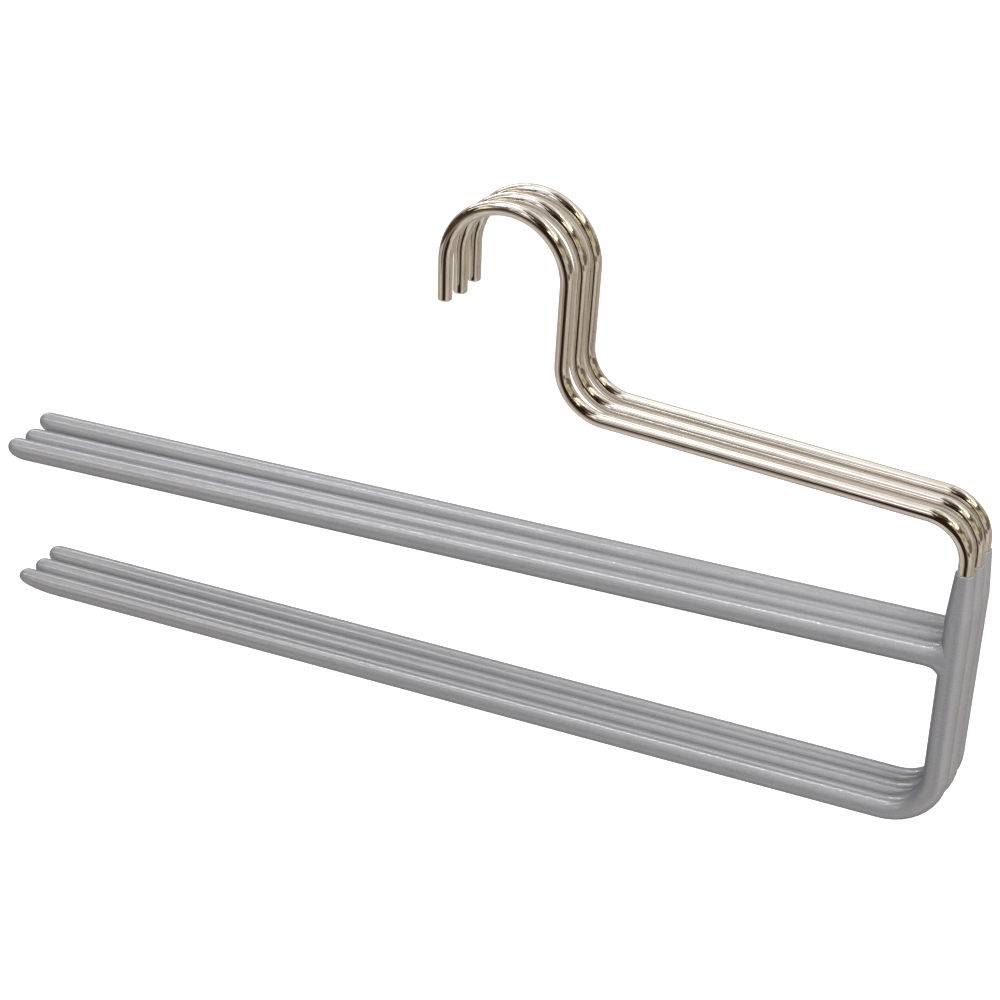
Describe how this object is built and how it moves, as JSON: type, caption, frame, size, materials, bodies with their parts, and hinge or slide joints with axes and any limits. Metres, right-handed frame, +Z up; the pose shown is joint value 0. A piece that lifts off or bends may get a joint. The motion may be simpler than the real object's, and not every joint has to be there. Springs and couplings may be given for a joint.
{
  "type": "trouser hanger",
  "caption": "Nested set of open-ended double trouser hangers: bent plated wire with a rail hook, and soft grip-coated arms and upright.",
  "frame": {"origin": "where a closet rail carries the front hanger: the inside top of its hook, on the wire's middle plane", "axes": "+X along the arms from their open ends to the upright, +Y from the front hanger to the rear one along the rail, +Z up"},
  "size_m": [0.3528, 0.0248, 0.1815],
  "materials": {
    "plated_wire": "bright nickel and chrome plating",
    "weld_metal": "as welded",
    "grip_coating": "soft silver-grey dip coating with a fine metallic grain"
  },
  "bodies": {
    "front_hanger": {"front_frame_wire": "plated_wire", "front_upper_arm_wire": "plated_wire", "front_weld_bead": "weld_metal", "front_grip_coating": "grip_coating"},
    "middle_hanger": {"middle_frame_wire": "plated_wire", "middle_upper_arm_wire": "plated_wire", "middle_weld_bead": "weld_metal", "middle_grip_coating": "grip_coating"},
    "rear_hanger": {"rear_frame_wire": "plated_wire", "rear_upper_arm_wire": "plated_wire", "rear_weld_bead": "weld_metal", "rear_grip_coating": "grip_coating"}
  },
  "joints": [
    {"name": "middle_hanger_slide", "type": "slide", "parent": "front_hanger", "child": "middle_hanger", "axis": [0, 1, 0], "range_m": [0, 0.06]},
    {"name": "rear_hanger_slide", "type": "slide", "parent": "middle_hanger", "child": "rear_hanger", "axis": [0, 1, 0], "range_m": [0, 0.06]}
  ]
}
